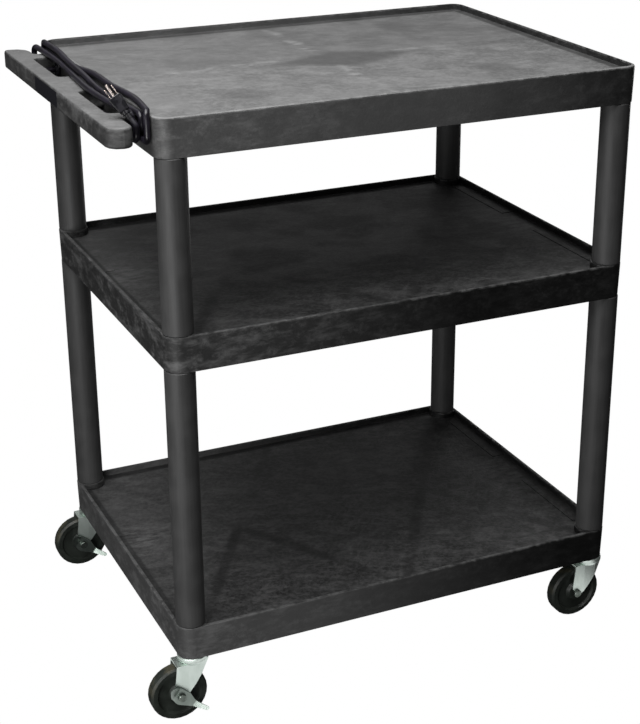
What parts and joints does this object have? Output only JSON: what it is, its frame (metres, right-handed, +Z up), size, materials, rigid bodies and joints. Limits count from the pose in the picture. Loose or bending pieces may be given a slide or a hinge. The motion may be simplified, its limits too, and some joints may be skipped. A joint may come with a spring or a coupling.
{
  "type": "audio visual cart",
  "caption": "Tall cart with moulded lipped shelves on round tube legs, a hooked push handle with a wound supply cord, and swivel casters with pedal brakes.",
  "frame": {"origin": "on the floor, below the middle of the plan from the handle's outer face to the far skirt", "axes": "+Z up, -X towards the handle, +Y across the cart towards its back side, the handle's cord gland being on the +Y half"},
  "size_m": [0.9275, 0.6503, 1.102],
  "materials": {
    "moulded_shelf": "moulded polyethylene, lightly pebbled",
    "leg_tube": "moulded tube, satin",
    "stem_insert": "moulded nylon",
    "zinc_pressing": "bright zinc plate",
    "plated_steel": "zinc plate",
    "wheel_tread": "moulded hard rubber",
    "outlet_case": "moulded",
    "receptacle_face": "moulded",
    "cord_jacket": "extruded jacket, slightly glossy",
    "plug_contact": "nickel-plated brass"
  },
  "bodies": {
    "frame": {"top_shelf": "moulded_shelf", "middle_shelf": "moulded_shelf", "bottom_shelf": "moulded_shelf", "leg_upper_lf": "leg_tube", "leg_upper_lb": "leg_tube", "leg_upper_rf": "leg_tube", "leg_upper_rb": "leg_tube", "leg_lower_lf": "leg_tube", "leg_lower_lb": "leg_tube", "leg_lower_rf": "leg_tube", "leg_lower_rb": "leg_tube", "stem_socket_lf": "stem_insert", "stem_socket_lb": "stem_insert", "stem_socket_rf": "stem_insert", "stem_socket_rb": "stem_insert", "caster_stem_lf": "zinc_pressing", "caster_stem_lb": "zinc_pressing", "caster_stem_rf": "zinc_pressing", "caster_stem_rb": "zinc_pressing", "outlet_screw_near": "plated_steel", "outlet_screw_far": "plated_steel", "outlet_housing": "outlet_case", "outlet_cover": "outlet_case", "outlet_receptacle_1": "receptacle_face", "outlet_receptacle_2": "receptacle_face", "outlet_receptacle_3": "receptacle_face", "cord_gland": "cord_jacket", "cord_lead": "cord_jacket", "cord_winding": "cord_jacket", "cord_tail": "cord_jacket", "plug_body": "cord_jacket", "plug_prong_left": "plug_contact", "plug_prong_right": "plug_contact", "plug_ground_pin": "plug_contact"},
    "swivel_lf": {"caster_fork_lf": "zinc_pressing", "axle_sleeve_lf": "plated_steel", "axle_bolt_lf": "plated_steel", "axle_nut_lf": "plated_steel", "brake_cam_lf": "plated_steel"},
    "swivel_lb": {"caster_fork_lb": "zinc_pressing", "axle_sleeve_lb": "plated_steel", "axle_bolt_lb": "plated_steel", "axle_nut_lb": "plated_steel", "brake_cam_lb": "plated_steel"},
    "swivel_rf": {"caster_fork_rf": "zinc_pressing", "axle_sleeve_rf": "plated_steel", "axle_bolt_rf": "plated_steel", "axle_nut_rf": "plated_steel"},
    "swivel_rb": {"caster_fork_rb": "zinc_pressing", "axle_sleeve_rb": "plated_steel", "axle_bolt_rb": "plated_steel", "axle_nut_rb": "plated_steel"},
    "wheel_lf_roll": {"wheel_lf": "wheel_tread"},
    "wheel_lb_roll": {"wheel_lb": "wheel_tread"},
    "wheel_rf_roll": {"wheel_rf": "wheel_tread"},
    "wheel_rb_roll": {"wheel_rb": "wheel_tread"},
    "brake_lf": {"brake_lever_lf": "zinc_pressing"},
    "brake_lb": {"brake_lever_lb": "zinc_pressing"}
  },
  "joints": [
    {"name": "caster_swivel_lf", "type": "hinge", "parent": "frame", "child": "swivel_lf", "pos_m": [-0.3628, -0.2934, 0.11], "axis": [0, 0, 1], "continuous": true},
    {"name": "wheel_spin_lf", "type": "hinge", "parent": "swivel_lf", "child": "wheel_lf_roll", "pos_m": [-0.3918, -0.2934, 0.0508], "axis": [0, 1, 0], "continuous": true},
    {"name": "caster_swivel_lb", "type": "hinge", "parent": "frame", "child": "swivel_lb", "pos_m": [-0.3628, 0.2934, 0.11], "axis": [0, 0, 1], "continuous": true},
    {"name": "wheel_spin_lb", "type": "hinge", "parent": "swivel_lb", "child": "wheel_lb_roll", "pos_m": [-0.3918, 0.2934, 0.0508], "axis": [0, 1, 0], "continuous": true},
    {"name": "caster_swivel_rf", "type": "hinge", "parent": "frame", "child": "swivel_rf", "pos_m": [0.4348, -0.2934, 0.11], "axis": [0, 0, 1], "continuous": true},
    {"name": "wheel_spin_rf", "type": "hinge", "parent": "swivel_rf", "child": "wheel_rf_roll", "pos_m": [0.4058, -0.2934, 0.0508], "axis": [0, 1, 0], "continuous": true},
    {"name": "caster_swivel_rb", "type": "hinge", "parent": "frame", "child": "swivel_rb", "pos_m": [0.4348, 0.2934, 0.11], "axis": [0, 0, 1], "continuous": true},
    {"name": "wheel_spin_rb", "type": "hinge", "parent": "swivel_rb", "child": "wheel_rb_roll", "pos_m": [0.4058, 0.2934, 0.0508], "axis": [0, 1, 0], "continuous": true},
    {"name": "brake_lever_lf", "type": "hinge", "parent": "swivel_lf", "child": "brake_lf", "pos_m": [-0.3918, -0.2934, 0.0508], "axis": [0, -1, 0], "range_deg": [0, 40]},
    {"name": "brake_lever_lb", "type": "hinge", "parent": "swivel_lb", "child": "brake_lb", "pos_m": [-0.3918, 0.2934, 0.0508], "axis": [0, -1, 0], "range_deg": [0, 40]}
  ]
}
